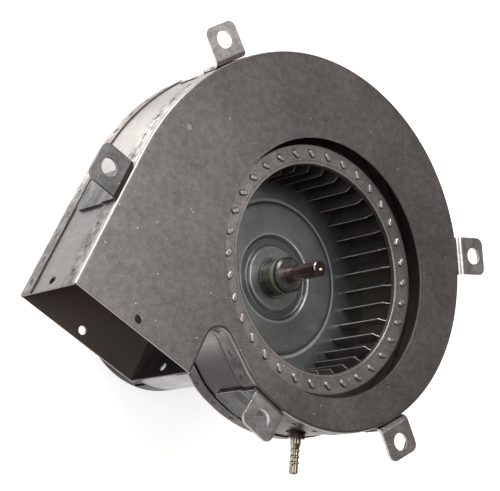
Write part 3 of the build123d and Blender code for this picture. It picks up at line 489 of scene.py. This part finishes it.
def coated(name, base, rough, gloss_level=0.5):
    """Enamel, rubber or felt: a fine orange-peel skin, cloudy with dust, and pale at its edges."""
    recipe = Recipe(name)
    peel = recipe.noise(scale=700.0, detail=2.0, rough=0.5)
    cloud = recipe.noise(scale=30.0, detail=4.0, rough=0.6)
    body = recipe.mix(recipe.span(cloud, low=0.35, high=0.7), colour(base), colour(1.6 * base, WARM))
    body = recipe.over(body, recipe.edges(0.5 * MM), strength=0.6, shade=colour(0.25, WARM))
    gloss = recipe.span(cloud, *WIDE, to_low=rough - 0.06, to_high=rough + 0.1)
    shine = {"Specular IOR Level": gloss_level}
    return recipe.finish(body, gloss, recipe.bumped((peel, 0.02 * MM)), metallic=0.0, **shine)


def shaft_steel():
    """Ground steel, oily brown, with streaks along its length and its end painted dark: a painted dark
    reflection.
    """
    recipe = Recipe("shaft_steel")
    streaks = recipe.noise(rough=0.6, vector=recipe.mapped(stretch=(420.0, 420.0, 12.0)))
    body = recipe.mix(recipe.span(streaks, low=0.4, high=0.62), colour(0.18, BROWN), colour(0.5, BROWN))
    body = recipe.over(body, recipe.edges(0.4 * MM), strength=0.3, shade=colour(0.5, WARM))
    # Painted dark reflection on the shaft's end face
    end = recipe.span(recipe.axis("Z"), low=SHAFT_END - 0.3 * MM, high=SHAFT_END - 0.1 * MM)
    body = recipe.mix(end, body, colour(0.07, BROWN))
    gloss = recipe.span(streaks, *WIDE, to_low=0.18, to_high=0.28)
    return recipe.finish(body, gloss, recipe.bumped((streaks, 0.01 * MM)), metallic=0.95)


def turned_metal(name, dark, light, rough=0.3, tint=WARM, metallic=1.0, bands=()):
    """Metal with the fine rings that a lathe leaves, worn at its edges, with painted shade in its corners.

    Each of its bands holds a height along Z, a half width, a strength and a colour.
    """
    recipe = Recipe(name)
    rings = recipe.noise(detail=2.0, rough=0.6, vector=recipe.mapped(stretch=(40.0, 40.0, 1 / LATHE_PITCH)))
    cloud = recipe.noise(scale=120.0, detail=4.0, rough=0.65)
    body = recipe.mix(recipe.span(cloud, low=0.32, high=0.68), colour(dark, tint), colour(light, tint))
    ridges = recipe.span(rings, low=0.45, high=0.75, to_high=0.3)
    body = recipe.mix(ridges, body, colour(1.3 * light, tint))
    height = recipe.axis("Z")
    for middle, half, strength, shade in bands:
        body = recipe.over(body, recipe.line(height, middle, half, soft=half), strength, shade)
    worn = colour(min(1.0, 1.8 * light), tint)
    body = recipe.over(body, recipe.edges(0.4 * MM), strength=0.6, shade=worn)
    pockets = recipe.cavity(distance=1.5 * MM, low=0.35, high=0.95)
    body = recipe.over(body, pockets, strength=0.7, shade=colour(0.2 * dark, WARM))
    gloss = recipe.span(cloud, *WIDE, to_low=rough - 0.05, to_high=rough + 0.08)
    return recipe.finish(body, gloss, recipe.bumped((rings, 0.006 * MM), soften=0.2 * MM), metallic)


def hub_zinc():
    """Yellowish plating: an olive band below the groove, painted shade in the groove, and the front painted
    dark: a painted dark reflection.
    """
    bands = (
        (HUB_COLLAR, 0.8 * MM, 0.8, colour(0.75, OLIVE)),
        # Painted shade in the groove
        (HUB_GROOVE, 0.35 * MM, 0.85, colour(0.02, EARTH)),
        # Painted dark reflection on the front
        (HUB_FRONT, 0.6 * MM, 0.6, colour(0.06, GREENISH)),
    )
    look = {"rough": 0.28, "tint": HUB_YELLOW, "metallic": 0.8, "bands": bands}
    return turned_metal("hub_zinc", dark=0.18, light=0.28, **look)


def dress(material, *names):
    """Makes this the only material of these CAD nodes."""
    for name in names:
        slots = nodes[name].data.materials
        slots.clear()
        slots.append(material)


def dress_housing():
    dress(plate_sheet("front_sheet", FRONT_FACE, FRONT_SKIRT_END), "front_plate")
    dress(plate_sheet("rear_sheet", REAR_FACE, REAR_SKIRT_END), "rear_plate")
    dress(band_sheet(), "scroll_band")
    for side, level in TAB_LIGHT_LEVELS.items():
        dress(tab_sheet("tab_sheet_" + side, level), "tab_" + side)
    brass = turned_metal("barb_brass", dark=0.2, light=0.3, rough=0.16, tint=BRASS)
    dress(brass, "hose_barb", "barb_nut")
    # The washer is near black: painted shade under the barb's hex
    dress(turned_metal("dark_washer", dark=0.06, light=0.1, tint=EARTH), "barb_washer")


def dress_rotor():
    dress(ring_sheet(), "wheel_front_ring")
    dress(back_disc_sheet(), "wheel_backplate")
    dress(blade_sheet(), "wheel_blades")
    dress(hub_zinc(), "wheel_hub", "hub_setscrew")
    dress(shaft_steel(), "motor_shaft")
    dress(turned_metal("cast_aluminium", dark=0.5, light=0.65), "rotor_end_rings")
    dress(Zinc("fan_casting", level=0.5).complete(NEUTRAL), "slinger_fan")


def dress_motor():
    enamel = coated("motor_enamel", base=0.02, rough=0.3, gloss_level=0.15)
    dress(enamel, "motor_front_bell", "motor_rear_bell")
    dress(Zinc("shell_sheet", level=0.38, rough=0.28).complete(NEUTRAL), "motor_shell")
    dress(Zinc("lamination", level=0.15).complete(NEUTRAL), "stator_core", "rotor_core")
    winding = turned_metal("winding", dark=0.3, light=0.45, tint=COPPER)
    dress(winding, "stator_coils", "shading_rings")
    bronze = turned_metal("bronze", dark=0.35, light=0.5, tint=BRONZE)
    dress(bronze, "front_bearing", "rear_bearing")
    dress(coated("rubber", base=0.025, rough=0.7), "isolator_bushes", "lead_grommet")
    dress(coated("felt", base=0.4, rough=0.9), "seal_felt", "front_felt_wick", "rear_felt_wick")


def dress_fasteners():
    plated = turned_metal("zinc_fasteners", dark=0.4, light=0.6)
    dress(plated, "clinch_nuts", "bolt_nuts", "through_bolts", "seal_cup")
    dress(plated, "shaft_clips", "thrust_washers", "front_bearing_retainer", "rear_bearing_retainer")


def floor():
    """A bright sheet that the motor's rear face stands on."""
    mesh = bpy.data.meshes.new("floor")
    signs = ((-1, -1), (1, -1), (1, 1), (-1, 1))
    corners = [(x * FLOOR_HALF, y * FLOOR_HALF, FLOOR_Z) for x, y in signs]
    mesh.from_pydata(corners, [], [(0, 1, 2, 3)])
    sheet = bpy.data.objects.new("floor", mesh)
    scene.collection.objects.link(sheet)
    recipe = Recipe("floor_paper")
    paper = recipe.noise(scale=400.0)
    body = recipe.mix(recipe.span(paper, *WIDE), colour(0.86), colour(0.9))
    gloss = recipe.span(paper, *WIDE, to_low=0.7, to_high=0.8)
    relief = recipe.bumped((paper, 0.02 * MM))
    glow = {"Emission Color": colour(1.0), "Emission Strength": FLOOR_GLOW}
    mesh.materials.append(recipe.finish(body, gloss, relief, metallic=0.0, **glow))


def lamp(name, place, size, power):
    """A square soft light that faces the fan."""
    data = bpy.data.lights.new(name, "AREA")
    data.shape = "SQUARE"
    data.size = size
    data.energy = power
    light = bpy.data.objects.new(name, data)
    light.location = place
    light.rotation_euler = (-Vector(place)).to_track_quat("-Z", "Y").to_euler()
    scene.collection.objects.link(light)


def studio():
    """The faint light of the room, and the lamps."""
    world = bpy.data.worlds.new("studio")
    scene.world = world
    world.use_nodes = True
    back = world.node_tree.nodes["Background"]
    back.inputs["Color"].default_value = colour(1.0, ROOM_TINT)
    back.inputs["Strength"].default_value = ROOM_STRENGTH
    for name, (place, size, power) in LAMPS.items():
        lamp(name, place, size, power)


def camera():
    """The one camera, pointing into the inlet from the outlet's side."""
    data = bpy.data.cameras.new("camera")
    data.lens = CAMERA_LENS
    data.sensor_width = SENSOR
    data.clip_start = CAMERA_NEAR
    data.clip_end = CAMERA_FAR
    eye = bpy.data.objects.new("camera", data)
    eye.location = CAMERA_PLACE
    eye.rotation_euler = [math.radians(a) for a in CAMERA_TURN]
    scene.collection.objects.link(eye)
    scene.camera = eye


dress_housing()
dress_rotor()
dress_motor()
dress_fasteners()
floor()
studio()
camera()
scene.view_settings.view_transform = "Standard"
